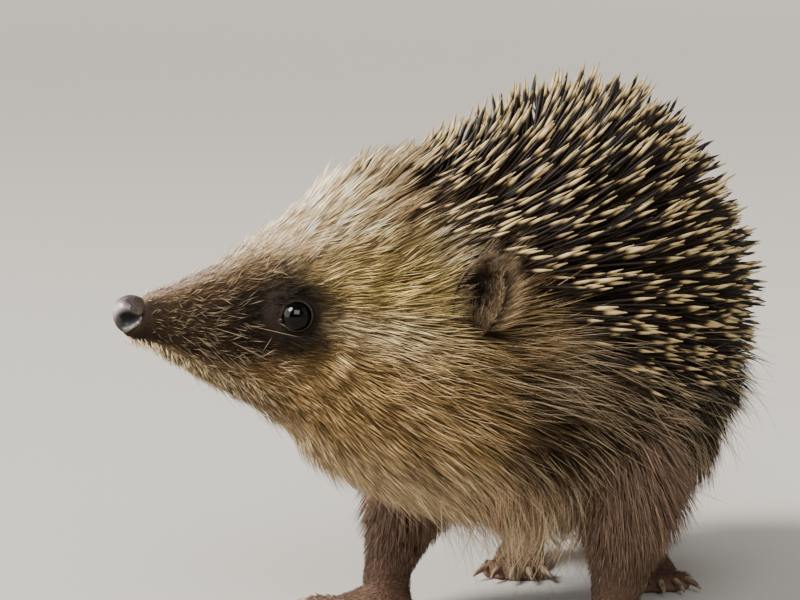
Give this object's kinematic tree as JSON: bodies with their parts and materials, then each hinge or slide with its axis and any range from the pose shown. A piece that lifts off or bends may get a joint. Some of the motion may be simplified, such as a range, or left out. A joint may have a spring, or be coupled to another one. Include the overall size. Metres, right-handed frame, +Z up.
{
  "type": "hedgehog",
  "caption": "Life-size young European hedgehog standing on all fours and looking to its right, with a spiny back, furry underside, pointed snout and short tail.",
  "frame": {"origin": "on the floor, under the middle of the animal's box seen from above", "axes": "+Z up, -X the way the body faces, -Y its left side; the head turns towards +Y"},
  "size_m": [0.1604, 0.1082, 0.1098],
  "materials": {
    "fur": "coarse fur",
    "spines": "banded spines",
    "skin": "short-haired skin",
    "nose": "moist",
    "eye": "glossy"
  },
  "bodies": {
    "root": {"back": "spines", "belly": "fur", "chest": "fur", "crown": "spines", "ear_left": "skin", "ear_right": "skin", "eye_left": "eye", "eye_right": "eye", "forefoot_left": "skin", "forefoot_right": "skin", "foreleg_left": "skin", "foreleg_right": "skin", "head": "fur", "hindfoot_left": "skin", "hindfoot_right": "skin", "hindleg_left": "skin", "hindleg_right": "skin", "lower_jaw": "fur", "nape": "spines", "neck": "fur", "nose": "nose", "rump": "fur", "rump_mantle": "spines", "snout": "fur", "tail": "skin"}
  },
  "joints": []
}
